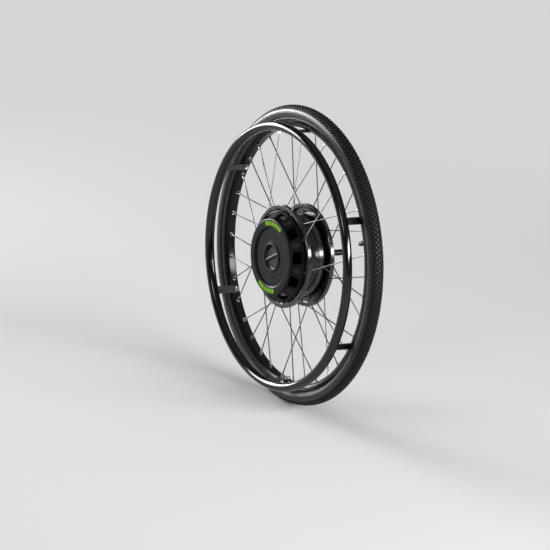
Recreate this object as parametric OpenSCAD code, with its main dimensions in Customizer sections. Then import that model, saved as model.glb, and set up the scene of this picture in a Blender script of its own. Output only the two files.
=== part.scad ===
// Power-assist drive wheel for a wheelchair: a laced 24-inch wheel on a hub motor, with a
// push rim, a vented plastic hub cover and a quick-release axle worked by a turn knob.
// Axial distances run outboard from the tyre's middle plane, along the axle.
// The origin is on the axle at the seat that rests against the chair, with +Y inboard.

/* [Tyre] */
// Outer radius of the tyre
tyre_r = 305; // [285:1:330]
// Diameter of the tyre's section
tyre_d = 33; // [31:0.5:36]
// Thickness of the tyre's casing
tyre_wall = 3; // [2.5:0.1:4]
// Height of the tyre above the rim's edge
tyre_h = 25; // [24:0.5:27]
// Depth of the grooves round the tread
tread_depth = 1.2; // [0.6:0.1:2]
// Wall of the inner tube
tube_wall = 1.2; // [0.8:0.1:2]

/* [Rim] */
// Width of the rim over its edges
rim_w = 26; // [24:0.5:30]
// Height of the rim from its edge to its inner face
rim_h = 19; // [18:0.5:24]
// Depth of the tyre's channel
channel_h = 9.5; // [8:0.5:11]
// Thickness of the rim's walls
rim_wall = 1.6; // [1.2:0.1:2]
// Width of the flat inner face that takes the nipples
rim_bed_w = 16; // [14:0.5:20]
// Direction of the valve, from +X toward +Z, in degrees
valve_angle = 22.5; // [2.5:10:22.5]
// Radius of the valve stem
valve_r = 4; // [3:0.25:4.25]
// Length of the valve inside the rim's inner face
valve_out = 24; // [18:1:34]

/* [Spokes] */
// Number of spokes, half on each flange
spokes = 36; // [24:12:48]
// Diameter of a spoke
spoke_d = 2.3; // [1.8:0.1:2.4]
// Diameter of a nipple
nipple_d = 4.4; // [3.8:0.1:5]
// Length of a nipple's shank outside the rim
nipple_out = 10; // [6:0.5:14]
// Turn of the laced wheel about its axle, in degrees
wheel_phase = 2.5; // [0:0.5:10]
// Axial distance between leading and trailing spokes at the flange
spoke_split = 3.9; // [3.7:0.1:4.2]

/* [Push rim] */
// Radius of the push rim's tube
push_tube_r = 9.5; // [8:0.25:12]
// Wall of the push rim's tube
push_wall = 1.5; // [1:0.1:2.5]
// Distance from the tyre's middle to the push rim
push_out = 50.3; // [44:0.1:60]
// How far the push rim's circle lies outside the rim's inner face
push_rise = 3.6; // [2:0.1:6]
// Number of tabs that carry the push rim
tabs = 6; // [3:3:6]
// Width of a tab
tab_w = 15; // [12:0.5:18]
// Thickness of a tab
tab_t = 3; // [2:0.25:4]

/* [Hub shell] */
// Outer radius of the spoke flanges
flange_r = 104.5; // [102:0.5:110]
// Radial thickness of the spoke flanges
flange_t = 7.5; // [6:0.5:9]
// Width of the spoke flanges
flange_w = 9.5; // [9:0.25:11]
// Distance from the tyre's middle to the front flange's outboard face
front_flange = 43; // [42:0.5:46]
// Distance from the tyre's middle to the rear flange's outboard face, inboard
rear_flange = 11.5; // [10:0.5:14]
// Thickness of the webs that carry the flanges
web_t = 2.5; // [2:0.1:3]
// Largest radius of the barrel between the flanges
barrel_r = 86; // [85:0.5:90]
// Radius of the barrel at the front flange
barrel_front_r = 66; // [62:0.5:70]
// Wall of the barrel
barrel_wall = 6; // [4:0.5:7]
// Thickness of the front wall
front_wall = 6; // [4:0.5:8]
// Thickness of the rear cover
rear_cover_t = 5; // [4:0.5:7]
// Radius of the rear cover
rear_cover_r = 92; // [90:0.5:94]

/* [Hub cover] */
// Outer radius of the cover's foot
foot_r = 93.5; // [92:0.25:94]
// Outer radius of the cover's raised ring
face_r = 79; // [77:0.5:82]
// Distance from the tyre's middle to the face of the ring
face_out = 67.5; // [66:0.25:70]
// Inner radius of the raised ring
face_in_r = 58.5; // [55:0.5:62]
// Radius of the ring's soft edges
face_round = 4.5; // [3:0.25:5]
// How far the disc lies below the ring
disc_drop = 3.5; // [2:0.25:5]
// Wall of the moulded cover
cover_wall = 3; // [2.5:0.1:3.5]
// Number of windows in the skirt
windows = 10; // [8:1:10]
// Width of a window at the ring
window_w = 26.5; // [20:0.5:28]
// Height of a window along the axle
window_h = 16.5; // [12:0.25:17]
// Turn of the windows about the axle, in degrees
window_phase = -3.3; // [-10:0.1:10]

/* [Release knob] */
// Radius of the knob
knob_r = 28.2; // [26:0.1:30]
// Depth of the knob's bowl
bowl_h = 5; // [4.5:0.25:9]
// Width of the grip bar
bar_w = 8; // [6:0.25:9]
// How far the bar's top lies below the knob's edge
bar_drop = 1.2; // [0.5:0.1:3]
// Direction of the bar, from +X toward +Z, in degrees
bar_angle = 31; // [0:1:90]
// Turn of the knob from locked to free, in degrees
knob_turn = 90; // [60:5:110]
// Travel of the plunger over that turn
plunger_travel = 5; // [4:0.25:6]

/* [Axle] */
// Radius of the axle
axle_r = 12.5; // [12:0.25:13]
// Radius of the quick-release pin
pin_r = 6.35; // [6:0.05:6.5]
// Distance from the tyre's middle to the seat against the chair
seat_d = 48; // [47:0.5:52]
// Length of the pin's bearing stretch in the chair
pin_grip = 57; // [45:1:80]
// Radius of the lock balls
lock_ball_r = 2.5; // [2.3:0.05:2.6]
// How far the lock balls stand out of the pin
lock_rise = 1; // [0.8:0.05:1.1]
// Radius of the torque plate
plate_r = 44; // [42:0.5:50]
// Thickness of the torque plate
plate_t = 5; // [4:0.25:5.5]
// Diameter of the circle that the torque pins stand on
torque_pcd = 64; // [62:0.5:68]
// Radius of a torque pin
torque_pin_r = 4; // [3:0.25:5]

/* [Motor] */
// Radius of the bore that holds the motor's back iron
motor_r = 78; // [76:0.5:79]
// Thickness of the back iron
iron_t = 3; // [2:0.25:4]
// Thickness of a magnet
magnet_t = 3.5; // [2.5:0.25:4]
// Number of magnets
magnets = 28; // [20:2:30]
// Gap between the magnets and the stator
air_gap = 0.8; // [0.6:0.1:1.2]
// Number of stator teeth
teeth = 24; // [18:3:27]
// Length of the stator's stack
stack = 18; // [14:0.5:19]
// Width of a tooth's neck
neck_w = 6; // [5:0.25:7]

/* [Bearings] */
// Outer radius of the bearings
bearing_r = 23.5; // [23:0.25:24]
// Width of the bearings
bearing_w = 12; // [11:0.25:13]
// Number of balls in a bearing
bearing_balls = 9; // [7:1:10]

/* [Clearances] */
// Gap at a seat between pieces that are fastened together
seat_gap = 0.05; // [0.02:0.01:0.1]
// Gap between pieces that turn or slide in one another
run_gap = 0.05; // [0.03:0.01:0.09]
// Gap between pieces that pass each other freely
free_gap = 0.6; // [0.4:0.05:1]

/* [Hidden] */
$fn = 96;

// Tyre and rim, from the outside in
tyre_sr = tyre_d / 2;
tyre_c = tyre_r - tyre_sr;
rim_edge_r = tyre_r - tyre_h;
rim_in_r = rim_edge_r - rim_h;
floor_r = rim_edge_r - channel_h;
well_drop = 1.2;
well_w = 11;
valve_hole_r = valve_r + 0.25;
valve_nut_r = valve_r + 3.2;
valve_nut_h = 3;
valve_nut_top = sqrt(rim_in_r * rim_in_r - valve_nut_r * valve_nut_r) - seat_gap;
valve_cap_h = 11;
valve_tip = 4;
tube_gap = 0.2;
tape_t = 0.8;
flange_in = rim_w / 2 - rim_wall;
tube_slack = 0.8;
tube_r = tyre_sr - tyre_wall - tube_slack;
bead_w = 4;
tread_grooves = [-40, -14, 14, 40];

// Spokes: nipples sit every pitch, and a spoke leans over two pitches to its nipple
pitch = 360 / spokes;
spoke_r = spoke_d / 2;
nipple_r = nipple_d / 2;
nipple_head_r = nipple_r + 1.1;
nipple_head_t = 2.2;
nipple_seat = rim_wall + 1.3;
spoke_head_r = spoke_r + 1.1;
spoke_head_t = 2;
flange_in_r = flange_r - flange_t;
front_trail = front_flange - flange_w + web_t + spoke_r + 0.2;
front_lead = front_trail + spoke_split;
rear_lead = -rear_flange - spoke_r - 0.7;
rear_trail = rear_lead - spoke_split;
spoke_fn = 24;

// Push rim and its tabs
push_r = rim_in_r + push_rise;
tab_phase = 180 / tabs + wheel_phase;
tab_in = -5;
tab_screw_r = 2.5;
tab_screw_s = 1;
tab_head_r = 4.6;
tab_head_h = 3;
insert_r = 3.6;
curve_gap = 0.25;
tab_top = sqrt(rim_in_r * rim_in_r - tab_w * tab_w / 4) - curve_gap;

// Hub shell, along the axle
rear_screws = 10;
rear_screw_r = 2.5;
rear_screw_pr = rear_cover_r - 5;
rear_sink = 2.5;
front_web_s = front_flange - flange_w;
plate_out = front_web_s + web_t;
plate_in = plate_out - front_wall;
rear_end = -rear_flange - flange_w;
barrel_l = front_web_s + rear_flange;
barrel_drop = barrel_r - barrel_front_r;
barrel_arc = (barrel_l * barrel_l + barrel_drop * barrel_drop) / (2 * barrel_drop);
barrel_c = barrel_r - barrel_arc;
boss_r = bearing_r + 5;
front_bearing_s = plate_out + 2 - bearing_w;
shoulder = 2;
shoulder_r = bearing_r - 3.5;

// Rear cover, seal and torque plate
rear_bearing_s = rear_end - rear_cover_t - bearing_w + 2;
seal_t = 4;
rear_boss_s = rear_bearing_s - seal_t;
seat_rise = 1.5;
seat_ring_r = 21;
plate_s = -seat_d + seat_rise;
axle_flange_r = seat_ring_r - 2;
axle_flange_s = plate_s + 2;
plate_screw_pr = (axle_r + axle_flange_r) / 2;
plate_screw_r = 1.5;
torque_phase = 30;
stud_out = 2 * torque_pin_r;
stud_tip = torque_pin_r / 2;
stud_bevel = 0.75 * stud_tip;
stud_shank_r = torque_pin_r - 1;
socket_r = 9;
socket_bore_r = 6.5;
socket_out = 10;
socket_boss_r = 4.8;
socket_boss_h = 2.5;

// Hub cover
cone_s = front_flange + 1;
cone_top_s = face_out - face_round;
disc_s = face_out - disc_drop;
disc_t = 3;
ledge_w = 4;
lip_w = 2;
lip_h = 1.2;
cover_screw_pr = (foot_r + face_r) / 2 - 1;
cover_screw_r = 2.5;
cover_head_r = 4.6;
cover_head_h = 2.6;
cover_boss_r = 5.2;
cover_sink = 4;
cap_inset = 0.4;
window_s = (cone_s + cone_top_s) / 2 + 2;
window_round = 2.5;
window_foot_w = window_w - 3;
window_in_r = face_r - 7;
screw_phase = 90 + window_phase + 180 / windows;

// Release knob and plunger; the cam slot is a row of bores along a helix
knob_out = face_out - 1;
knob_floor_t = 3;
knob_floor_s = knob_out - bowl_h - knob_floor_t;
knob_wall = 2.4;
slot_off = knob_r - 10.7;
slot_h = 1.8;
sleeve_in_r = pin_r + run_gap;
sleeve_r = pin_r + 6;
collar_r = pin_r + 4;
collar_t = 2;
axle_front = plate_out + 6;
sleeve_s = axle_front + collar_t + seat_gap + 0.3;
cam_pin_r = 1.5;
cam_gap = 0.4;
cam_rest_s = knob_floor_s - 3.2;
cam_steps = 10;
rod_bore_r = 3.2;
lock_in = lock_rise + run_gap;
ball_rest_r = pin_r + lock_rise - lock_ball_r;
lock_slope = lock_in / plunger_travel;
rod_r = ball_rest_r - lock_ball_r * sqrt(1 + lock_slope * lock_slope) - run_gap;
undercut = 0.4;
undercut_w = 4;
lock_groove_w = 9;
pin_tip = 4;
lock_s = -seat_d - pin_grip - lock_groove_w / 2;
pin_end = lock_s - lock_groove_w / 2 - pin_tip;

// Motor, along the axle and from the outside in
iron_in_r = motor_r - seat_gap - iron_t;
magnet_in_r = iron_in_r - seat_gap - magnet_t;
stator_r = magnet_in_r - air_gap;
magnet_l = stack + 3;
motor_s = -7;
tooth_tip_t = 2.5;
tooth_h = 15;
yoke_r = stator_r - tooth_tip_t - tooth_h;
stator_in_r = yoke_r - 6;
coil_t = (yoke_r * sin(180 / teeth) * 2 - neck_w) / 2 - 0.4;
coil_over = 1;
carrier_t = 12;
carrier_boss_r = axle_r + 5.5;
post_pr = 38;
post_r = 3.5;
post_h = 13;
board_t = 1.6;
board_screw_r = post_r - 2;
board_head_r = post_r - 0.7;
posts = 4;
post_phase = 45;
board_in_r = carrier_boss_r + 1;
board_r = post_pr + 12;
board_s = motor_s + carrier_t / 2 + post_h;
key_w = 5;
key_h = 5;
lead_w = 4;
lead_h = 2.4;
lead_slot = 3;
lead_angle = 90;
lead_end = torque_pcd / 2 - socket_boss_r - seat_gap;

// Bearings
race_t = 3.5;
ball_r = (bearing_r - axle_r) / 2 - 1.6;
ball_pr = (bearing_r + axle_r) / 2;
cage_t = 2;
cage_w = bearing_w - 2;
groove_gap = 0.08;

function polar(r, a, s) = [r * cos(a), r * sin(a), s];
function arc(c, r, a0, a1, steps = 8) = [
    for (i = [0:steps])
        let (a = a0 + (a1 - a0) * i / steps)
            [c[0] + r * cos(a), c[1] + r * sin(a)]
];

// Hub end and rim end of each spoke of one flange, in crossing pairs
function lacing(first, lead_s, trail_s) = [
    for (pair = [0:spokes / 4 - 1])
        for (lead = [1, -1])
            let (a = (first + 1 - lead + 4 * pair) * pitch + wheel_phase)
                [
                    polar(flange_in_r, a, lead > 0 ? lead_s : trail_s),
                    polar(rim_in_r, a + lead * 2 * pitch, 0)
                ]
];
outboard_lacing = lacing(3.5, front_lead, front_trail);
inboard_lacing = lacing(2.5, rear_lead, rear_trail);
all_lacing = concat(outboard_lacing, inboard_lacing);

module on_axle() {
    translate([0, -seat_d, 0]) rotate([90, 0, 0]) children();
}

module aim(ends) {
    d = ends[1] - ends[0];
    translate(ends[0])
        rotate([0, acos(d[2] / norm(d)), atan2(d[1], d[0])])
            children();
}

module around(count, first = 0) {
    for (i = [0:count - 1])
        rotate([0, 0, first + 360 / count * i]) children();
}

module band(r_in, r_out, s0, s1) {
    rotate_extrude() translate([r_in, s0]) square([r_out - r_in, s1 - s0]);
}

module post(r, s0, s1) {
    translate([0, 0, s0]) cylinder(r = r, h = s1 - s0);
}

module radial(a, s) {
    rotate([0, 0, a]) translate([0, 0, s]) rotate([0, 90, 0]) children();
}

// One bead of the tyre, from its seat on the rim's floor up into the casing
module tyre_bead(side) {
    edge = rim_edge_r + seat_gap;
    mid = tyre_sr - tyre_wall / 2;
    rise = 4;
    neck = sqrt(mid * mid - pow(tyre_c - edge, 2));
    shoulder_w = sqrt(mid * mid - pow(tyre_c - edge - rise, 2));
    inside = sqrt(max(1, pow(tube_r + 0.3, 2) - pow(tyre_c - edge + 1, 2)));
    out = flange_in - seat_gap;
    outline = [
        [floor_r + seat_gap, out - bead_w],
        [floor_r + seat_gap, out],
        [edge, out],
        [edge, neck],
        [edge + rise, shoulder_w],
        [edge - 1, inside]
    ];
    order = side < 0 ? [0:len(outline) - 1] : [len(outline) - 1:-1:0];
    polygon([for (i = order) [outline[i][0], side * outline[i][1]]]);
}

module tyre() {
    color([0.05, 0.05, 0.055]) on_axle() rotate_extrude() difference() {
        union() {
            difference() {
                translate([tyre_c, 0]) circle(r = tyre_sr);
                translate([tyre_c, 0]) circle(r = tyre_sr - tyre_wall);
                translate([tyre_c - tyre_d, -tyre_d])
                    square([tyre_d - tyre_c + rim_edge_r + seat_gap, 2 * tyre_d]);
            }
            tyre_bead(1);
            tyre_bead(-1);
        }
        for (a = tread_grooves)
            translate([tyre_c + tyre_sr * cos(a), tyre_sr * sin(a)]) circle(r = tread_depth, $fn = 32);
    }
}

module inner_tube() {
    color([0.12, 0.12, 0.12]) on_axle() rotate_extrude() translate([tyre_c, 0]) difference() {
        circle(r = tube_r);
        circle(r = tube_r - tube_wall);
    }
}

module rim_section() {
    shoulder_s = rim_in_r + (rim_w - rim_bed_w) / 2 + 2;
    box_top = floor_r - well_drop - rim_wall;
    box_low = rim_in_r + rim_wall;
    difference() {
        polygon([
            [rim_in_r, -rim_bed_w / 2],
            [rim_in_r, rim_bed_w / 2],
            [shoulder_s, rim_w / 2],
            [rim_edge_r, rim_w / 2],
            [rim_edge_r, -rim_w / 2],
            [shoulder_s, -rim_w / 2]
        ]);
        translate([floor_r, -flange_in]) square([channel_h + 1, 2 * flange_in]);
        translate([floor_r - well_drop, -well_w / 2]) square([well_drop + 1, well_w]);
        polygon([
            [box_low, -rim_bed_w / 2 + rim_wall],
            [box_low, rim_bed_w / 2 - rim_wall],
            [box_top, rim_bed_w / 2 + rim_wall],
            [box_top, -rim_bed_w / 2 - rim_wall]
        ]);
    }
}

module rim() {
    access_r = nipple_head_r + 1.2;
    color([0.03, 0.03, 0.035]) on_axle() difference() {
        rotate_extrude() rim_section();
        for (ends = all_lacing) {
            reach = norm(ends[1] - ends[0]);
            aim(ends) post(nipple_r + 0.15, reach - 6, reach + nipple_seat + 1, $fn = spoke_fn);
            radial(atan2(ends[1][1], ends[1][0]), 0)
                post(access_r, floor_r - well_drop - rim_wall - 1, floor_r + 1, $fn = spoke_fn);
        }
        radial(valve_angle, 0) post(valve_hole_r, rim_in_r - 1, floor_r + 1);
        around(tabs, tab_phase)
            radial(0, tab_screw_s) post(insert_r + seat_gap, rim_in_r - 1, rim_in_r + rim_wall + 1);
    }
}

module rim_tape() {
    color([0.75, 0.16, 0.12]) on_axle() difference() {
        band(floor_r - well_drop + seat_gap, floor_r - well_drop + seat_gap + tape_t,
            -well_w / 2 + 0.2, well_w / 2 - 0.2);
        radial(valve_angle, 0) post(valve_hole_r, floor_r - well_drop - 1, floor_r + 1);
    }
}

module valve_stem() {
    color([0.72, 0.72, 0.7]) on_axle() difference() {
        radial(valve_angle, 0) post(valve_r, rim_in_r - valve_out + valve_tip, tyre_c - tube_r / 2);
        rotate_extrude() translate([tyre_c, 0]) circle(r = tube_r + tube_gap);
    }
}

module valve_nut() {
    color([0.72, 0.72, 0.7]) on_axle() radial(valve_angle, 0) difference() {
        translate([0, 0, valve_nut_top - valve_nut_h]) cylinder(r = valve_nut_r, h = valve_nut_h, $fn = 6);
        post(valve_r + seat_gap, valve_nut_top - valve_nut_h - 1, valve_nut_top + 1);
    }
}

module valve_cap() {
    cap_r = valve_r + 1;
    low = rim_in_r - valve_out;
    color([0.06, 0.06, 0.06]) on_axle() radial(valve_angle, 0) difference() {
        post(cap_r, low, low + valve_cap_h);
        post(valve_r + seat_gap, low + valve_tip - seat_gap, low + valve_cap_h + 1);
    }
}

module spoke(ends) {
    reach = norm(ends[1] - ends[0]);
    aim(ends) {
        post(spoke_r, -spoke_head_t, reach + nipple_seat, $fn = spoke_fn);
        post(spoke_head_r, -spoke_head_t - 0.5, -0.5, $fn = spoke_fn);
    }
}

module spokes_outboard() {
    color([0.3, 0.31, 0.33]) on_axle() for (ends = outboard_lacing) spoke(ends);
}

module spokes_inboard() {
    color([0.3, 0.31, 0.33]) on_axle() for (ends = inboard_lacing) spoke(ends);
}

module spoke_nipples() {
    color([0.78, 0.7, 0.55]) on_axle() for (ends = all_lacing) {
        reach = norm(ends[1] - ends[0]);
        aim(ends) difference() {
            union() {
                post(nipple_r, reach - nipple_out, reach + nipple_seat + 1, $fn = spoke_fn);
                post(nipple_head_r, reach + nipple_seat, reach + nipple_seat + nipple_head_t, $fn = spoke_fn);
            }
            post(spoke_r + seat_gap, reach - nipple_out - 1, reach + nipple_seat + seat_gap, $fn = spoke_fn);
        }
    }
}

module push_rim() {
    color([0.1, 0.1, 0.11]) on_axle() rotate_extrude() translate([push_r, push_out]) difference() {
        circle(r = push_tube_r);
        circle(r = push_tube_r - push_wall);
    }
}

module push_rim_tabs() {
    top = tab_top;
    tip_r = tab_w / 2;
    color([0.16, 0.16, 0.17]) on_axle() difference() {
        around(tabs, tab_phase) difference() {
            union() {
                translate([top - tab_t, -tab_w / 2, tab_in + tip_r])
                    cube([tab_t, tab_w, push_out - tab_in - tip_r]);
                translate([0, 0, tab_in + tip_r])
                    rotate([0, 90, 0]) post(tip_r, top - tab_t, top);
            }
            radial(0, tab_screw_s) post(tab_screw_r + seat_gap, top - tab_t - 1, top + 1);
        }
        rotate_extrude() translate([push_r, push_out]) circle(r = push_tube_r + seat_gap);
        post(rim_in_r, push_out, push_out + push_tube_r);
    }
}

module tab_screws() {
    top = tab_top - tab_t - seat_gap;
    color([0.8, 0.8, 0.8]) on_axle() around(tabs, tab_phase) radial(0, tab_screw_s) difference() {
        union() {
            post(tab_screw_r, top - 1, rim_in_r + rim_wall + 2.5);
            post(tab_head_r, top - tab_head_h, top);
        }
        translate([0, 0, top - tab_head_h - 1]) cylinder(r = 2.3, h = 2.5, $fn = 6);
    }
}

module tab_inserts() {
    color([0.7, 0.62, 0.4]) on_axle() around(tabs, tab_phase) radial(0, tab_screw_s) difference() {
        union() {
            post(insert_r, rim_in_r, rim_in_r + rim_wall + 3);
            post(insert_r + 1, rim_in_r + rim_wall + 0.2, rim_in_r + rim_wall + 1.4);
        }
        post(tab_screw_r + seat_gap, rim_in_r - 1, rim_in_r + rim_wall + 4);
    }
}

module flange_section(s0) {
    chamfer = 1.2;
    polygon([
        [flange_in_r, s0],
        [flange_r - chamfer, s0],
        [flange_r, s0 + chamfer],
        [flange_r, s0 + flange_w - chamfer],
        [flange_r - chamfer, s0 + flange_w],
        [flange_in_r, s0 + flange_w]
    ]);
}

module barrel_section(inset) {
    intersection() {
        translate([barrel_c, -rear_flange]) circle(r = barrel_arc - inset, $fn = 180);
        translate([0, -rear_flange - flange_w - 1])
            square([barrel_r, barrel_l + flange_w + 1]);
    }
}

module hub_section() {
    difference() {
        union() {
            intersection() {
                barrel_section(0);
                translate([0, -rear_flange]) square([barrel_r, barrel_l]);
            }
            translate([0, rear_end]) square([barrel_r, flange_w]);
            translate([0, rear_end]) square([flange_in_r + 1, web_t]);
            flange_section(rear_end);
            translate([0, front_web_s]) square([flange_in_r + 1, web_t]);
            flange_section(front_web_s);
            translate([0, front_web_s]) square([boss_r, front_bearing_s + bearing_w - front_web_s]);
        }
        intersection() {
            barrel_section(barrel_wall);
            translate([0, rear_end - 1]) square([motor_r, plate_in - rear_end + 1]);
        }
        translate([0, front_bearing_s]) square([bearing_r + seat_gap, bearing_w + 10]);
    }
    difference() {
        translate([shoulder_r, front_bearing_s - shoulder])
            square([boss_r - shoulder_r, plate_in - front_bearing_s + shoulder + 0.1]);
        translate([0, front_bearing_s]) square([bearing_r + seat_gap, bearing_w + 10]);
    }
}

module hub_shell() {
    color([0.05, 0.055, 0.07]) on_axle() difference() {
        union() {
            rotate_extrude() hub_section();
            around(windows, screw_phase)
                translate([cover_screw_pr, 0, 0]) post(cover_boss_r, plate_out - 0.1, front_flange);
        }
        for (ends = all_lacing)
            aim(ends) {
                post(spoke_r + 0.1, -3, flange_t + 6, $fn = spoke_fn);
                post(spoke_head_r + 0.2, -4, -0.4, $fn = spoke_fn);
            }
        around(windows, screw_phase)
            translate([cover_screw_pr, 0, 0]) post(cover_screw_r + seat_gap, plate_out, front_flange + 1);
        around(rear_screws)
            translate([rear_screw_pr, 0, 0]) post(rear_screw_r + seat_gap, rear_end - 1, rear_end + 8);
    }
}

module rear_cover() {
    top = rear_end - seat_gap;
    color([0.07, 0.07, 0.08]) on_axle() difference() {
        rotate_extrude() polygon([
            [shoulder_r, top],
            [rear_cover_r - 1.5, top],
            [rear_cover_r, top - 1.5],
            [rear_cover_r, top - rear_cover_t + 2],
            [rear_cover_r - 2, top - rear_cover_t],
            [boss_r + 6, top - rear_cover_t],
            [boss_r + 2, rear_boss_s],
            [bearing_r + seat_gap, rear_boss_s],
            [bearing_r + seat_gap, rear_bearing_s + bearing_w],
            [shoulder_r, rear_bearing_s + bearing_w]
        ]);
        around(rear_screws) translate([rear_screw_pr, 0, 0]) {
            post(rear_screw_r + seat_gap, top - rear_cover_t - 1, top + 1);
            post(4.8, top - rear_cover_t - 1, top - rear_cover_t + rear_sink);
        }
    }
}

module rear_cover_screws() {
    top = rear_end - rear_cover_t + rear_sink - 2 * seat_gap;
    color([0.6, 0.6, 0.62]) on_axle() around(rear_screws) translate([rear_screw_pr, 0, 0]) difference() {
        union() {
            post(rear_screw_r, top - 1, rear_end + 7);
            post(4.5, top - 2.4, top);
        }
        translate([0, 0, top - 3.4]) cylinder(r = 1.8, h = 2.6, $fn = 6);
    }
}

module window_cut() {
    h = window_h / 2 - window_round;
    low = window_foot_w / 2 - window_round;
    high = window_w / 2 - window_round;
    outline = concat(
        arc([high, h], window_round, 0, 90, 4),
        arc([-high, h], window_round, 90, 180, 4),
        arc([-low, -h], window_round, 180, 270, 4),
        arc([low, -h], window_round, 270, 360, 4)
    );
    translate([window_in_r, 0, 0]) rotate([90, 0, 90])
        linear_extrude(foot_r - window_in_r + 5) polygon(outline);
}

// Solid that fills the skirt's cone, drawn in by an inset
module skirt_solid(inset) {
    rotate_extrude() polygon([
        [0, 0],
        [foot_r - inset, 0],
        [foot_r - inset, cone_s],
        [face_r - inset, cone_top_s],
        [0, cone_top_s]
    ]);
}

module front_cover() {
    foot = plate_out + seat_gap;
    out_c = [face_r - face_round, face_out - face_round];
    in_c = [face_in_r + face_round, face_out - face_round];
    ledge_s = disc_s - disc_t - seat_gap;
    color([0.16, 0.17, 0.19]) on_axle() difference() {
        union() {
            rotate_extrude() polygon(concat(
                [[foot_r - cover_wall, foot], [foot_r, foot], [foot_r, cone_s]],
                arc(out_c, face_round, 0, 90),
                arc(in_c, face_round, 90, 180),
                [
                    [face_in_r, ledge_s],
                    [face_in_r - ledge_w, ledge_s],
                    [face_in_r - ledge_w, ledge_s - 2],
                    [face_r - cover_wall - 2, ledge_s - 2],
                    [foot_r - cover_wall, cone_s]
                ]
            ));
            intersection() {
                around(windows, screw_phase)
                    translate([cover_screw_pr, 0, 0])
                        post(cover_head_r + 2, front_flange + seat_gap, cone_top_s);
                skirt_solid(0);
            }
        }
        around(windows, 90 + window_phase) translate([0, 0, window_s]) window_cut();
        around(windows, screw_phase) translate([cover_screw_pr, 0, 0]) {
            post(cover_screw_r + seat_gap, foot - 1, cone_top_s);
            post(cover_boss_r + 0.2, foot - 1, front_flange + seat_gap);
            post(cover_head_r + 0.4, front_flange + cover_sink, face_out);
        }
    }
}

module cover_disc() {
    hole_r = knob_r + free_gap;
    color([0.15, 0.16, 0.18]) on_axle() rotate_extrude() polygon([
        [hole_r, disc_s - disc_t],
        [face_in_r - seat_gap - 0.1, disc_s - disc_t],
        [face_in_r - seat_gap - 0.1, disc_s - 0.6],
        [face_in_r - 1, disc_s],
        [hole_r + lip_w + 1, disc_s],
        [hole_r + lip_w, disc_s + lip_h],
        [hole_r, disc_s + lip_h]
    ]);
}

module cover_screws() {
    top = front_flange + cover_sink + seat_gap;
    color([0.5, 0.5, 0.52]) on_axle() around(windows, screw_phase)
        translate([cover_screw_pr, 0, 0]) difference() {
            union() {
                post(cover_screw_r, plate_out + 0.5, top + 1);
                post(cover_head_r, top, top + cover_head_h);
            }
            translate([0, 0, top + 1]) cylinder(r = 1.8, h = cover_head_h, $fn = 6);
        }
}

module screw_caps() {
    low = front_flange + cover_sink + cover_head_h + 2 * seat_gap;
    color([0.42, 0.38, 0.34]) on_axle() intersection() {
        around(windows, screw_phase) translate([cover_screw_pr, 0, 0])
            post(cover_head_r + 0.4 - seat_gap, low, cone_top_s);
        skirt_solid(cap_inset);
    }
}

module back_iron() {
    color([0.4, 0.4, 0.42]) on_axle()
        band(iron_in_r, motor_r - seat_gap, motor_s - magnet_l / 2 - 1, motor_s + stack / 2);
}

module rotor_magnets() {
    half = 180 / magnets - 0.8;
    out = iron_in_r - seat_gap;
    color([0.55, 0.56, 0.6]) on_axle() intersection() {
        band(magnet_in_r, out, motor_s - magnet_l / 2, motor_s + magnet_l / 2);
        around(magnets) translate([0, 0, motor_s - magnet_l / 2]) linear_extrude(magnet_l) polygon([
            [0, 0],
            [2 * out * cos(half), -2 * out * sin(half)],
            [2 * out * cos(half), 2 * out * sin(half)]
        ]);
    }
}

module outer_race(s0) {
    difference() {
        band(bearing_r - race_t, bearing_r, s0, s0 + bearing_w);
        rotate_extrude() translate([ball_pr, s0 + bearing_w / 2]) circle(r = ball_r + groove_gap, $fn = 48);
    }
}

module inner_race(s0) {
    in_r = axle_r + seat_gap;
    difference() {
        band(in_r, axle_r + race_t, s0, s0 + bearing_w);
        rotate_extrude() translate([ball_pr, s0 + bearing_w / 2]) circle(r = ball_r + groove_gap, $fn = 48);
    }
}

module race_balls(s0) {
    around(bearing_balls) translate([ball_pr, 0, s0 + bearing_w / 2]) sphere(r = ball_r, $fn = 32);
}

module race_cage(s0) {
    mid = s0 + bearing_w / 2;
    difference() {
        band(ball_pr - cage_t / 2, ball_pr + cage_t / 2, mid - cage_w / 2, mid + cage_w / 2);
        around(bearing_balls) radial(0, mid) post(ball_r + 0.1, ball_pr - cage_t, ball_pr + cage_t);
    }
}

module front_bearing_outer() {
    color([0.75, 0.76, 0.78]) on_axle() outer_race(front_bearing_s);
}

module rear_bearing_outer() {
    color([0.75, 0.76, 0.78]) on_axle() outer_race(rear_bearing_s);
}

module front_bearing_inner() {
    color([0.75, 0.76, 0.78]) on_axle() inner_race(front_bearing_s);
}

module rear_bearing_inner() {
    color([0.75, 0.76, 0.78]) on_axle() inner_race(rear_bearing_s);
}

module front_bearing_balls() {
    color([0.85, 0.85, 0.86]) on_axle() race_balls(front_bearing_s);
}

module rear_bearing_balls() {
    color([0.85, 0.85, 0.86]) on_axle() race_balls(rear_bearing_s);
}

module front_bearing_cage() {
    color([0.6, 0.5, 0.3]) on_axle() race_cage(front_bearing_s);
}

module rear_bearing_cage() {
    color([0.6, 0.5, 0.3]) on_axle() race_cage(rear_bearing_s);
}

module shaft_seal() {
    color([0.08, 0.08, 0.08]) on_axle() rotate_extrude() polygon([
        [axle_r + 0.4, rear_boss_s + 1.2],
        [axle_r + 0.4, rear_boss_s + 2.2],
        [axle_r + race_t, rear_boss_s + seal_t - 0.3],
        [bearing_r - 0.02, rear_boss_s + seal_t - 0.1],
        [bearing_r - 0.02, rear_boss_s],
        [axle_r + race_t, rear_boss_s]
    ]);
}

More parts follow.
